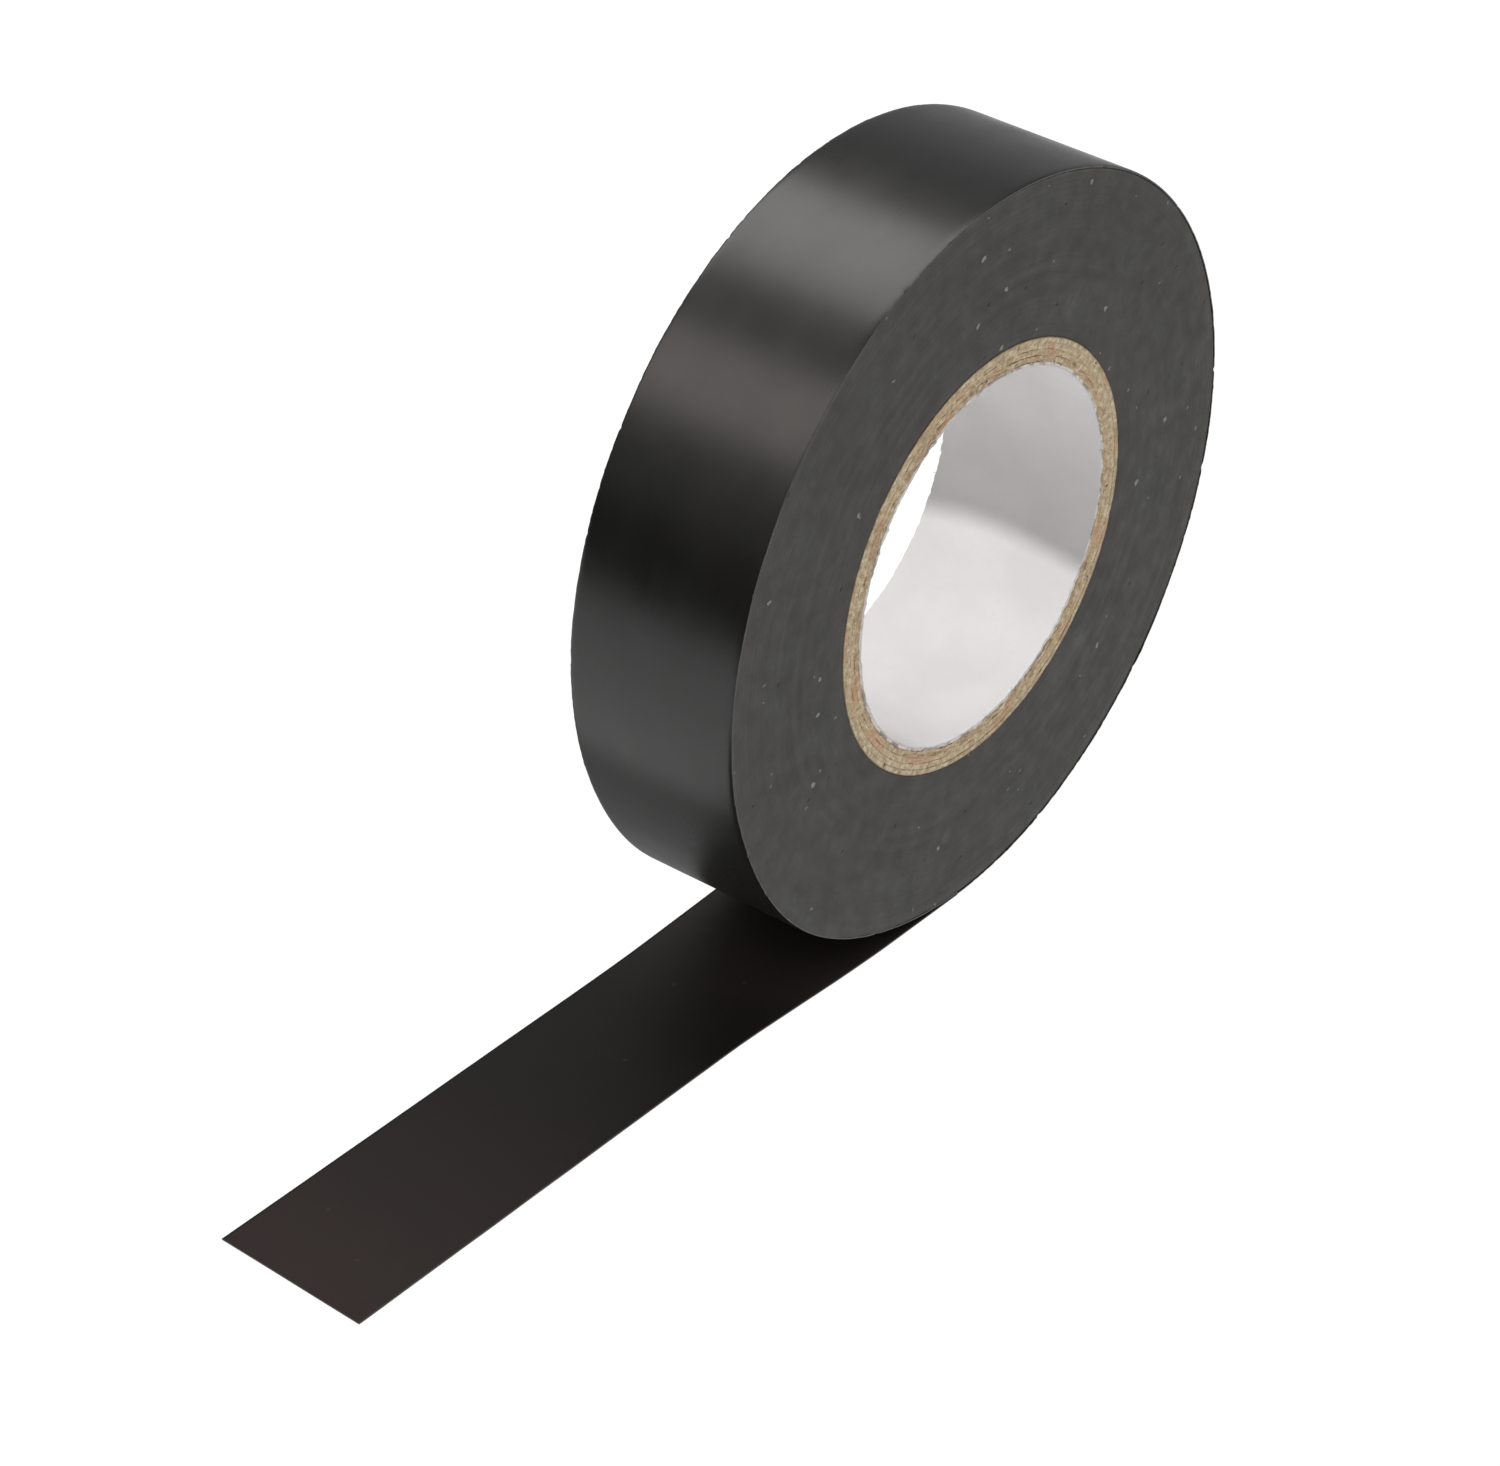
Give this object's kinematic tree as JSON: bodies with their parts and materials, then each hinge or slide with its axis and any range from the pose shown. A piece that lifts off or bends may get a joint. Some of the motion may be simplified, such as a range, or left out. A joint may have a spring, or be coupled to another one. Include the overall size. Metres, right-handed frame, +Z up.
{
  "type": "electrical tape roll",
  "caption": "Roll of black PVC electrical tape on a paperboard core, standing on its rim, with a loose tail that bends and wraps back onto the roll.",
  "frame": {"origin": "centre of the core's bore, midway across the tape's width", "axes": "+Y along the roll's axis, +Z up, and the tail runs from the roll's lowest point towards -X; the side face seen in the picture faces -Y"},
  "size_m": [0.1292, 0.019, 0.0787],
  "materials": {
    "pvc_film": "satin black PVC film, soft sheen",
    "adhesive": "smooth tacky near-black adhesive, slight brown cast",
    "core_board": "matte brown fibrous paperboard, cut edge",
    "liner_paper": "smooth white-grey paper"
  },
  "bodies": {
    "roll": {"core_liner": "liner_paper", "core_ply_1": "core_board", "core_ply_2": "core_board", "core_ply_3": "core_board", "core_ply_4": "core_board", "tape_windings": "pvc_film", "outer_turn_backing": "pvc_film", "outer_turn_adhesive": "adhesive", "tail_backing_root": "pvc_film", "tail_adhesive_root": "adhesive"},
    "tail_link_1": {"tail_backing_1": "pvc_film", "tail_adhesive_1": "adhesive"},
    "tail_link_2": {"tail_backing_2": "pvc_film", "tail_adhesive_2": "adhesive"},
    "tail_link_3": {"tail_backing_3": "pvc_film", "tail_adhesive_3": "adhesive"},
    "tail_link_4": {"tail_backing_4": "pvc_film", "tail_adhesive_4": "adhesive"},
    "tail_link_5": {"tail_backing_5": "pvc_film", "tail_adhesive_5": "adhesive"},
    "tail_link_6": {"tail_backing_6": "pvc_film", "tail_adhesive_6": "adhesive"},
    "tail_link_7": {"tail_backing_7": "pvc_film", "tail_adhesive_7": "adhesive"}
  },
  "joints": [
    {"name": "tail_bend_1", "type": "hinge", "parent": "roll", "child": "tail_link_1", "pos_m": [-0.006, 0, -0.03925], "axis": [0, 1, 0], "range_deg": [0, 13.5]},
    {"name": "tail_bend_2", "type": "hinge", "parent": "tail_link_1", "child": "tail_link_2", "pos_m": [-0.018, 0, -0.03925], "axis": [0, 1, 0], "range_deg": [0, 17]},
    {"name": "tail_bend_3", "type": "hinge", "parent": "tail_link_2", "child": "tail_link_3", "pos_m": [-0.03, 0, -0.03925], "axis": [0, 1, 0], "range_deg": [0, 17]},
    {"name": "tail_bend_4", "type": "hinge", "parent": "tail_link_3", "child": "tail_link_4", "pos_m": [-0.042, 0, -0.03925], "axis": [0, 1, 0], "range_deg": [0, 17]},
    {"name": "tail_bend_5", "type": "hinge", "parent": "tail_link_4", "child": "tail_link_5", "pos_m": [-0.054, 0, -0.03925], "axis": [0, 1, 0], "range_deg": [0, 17]},
    {"name": "tail_bend_6", "type": "hinge", "parent": "tail_link_5", "child": "tail_link_6", "pos_m": [-0.066, 0, -0.03925], "axis": [0, 1, 0], "range_deg": [0, 17]},
    {"name": "tail_bend_7", "type": "hinge", "parent": "tail_link_6", "child": "tail_link_7", "pos_m": [-0.078, 0, -0.03925], "axis": [0, 1, 0], "range_deg": [0, 17]}
  ]
}
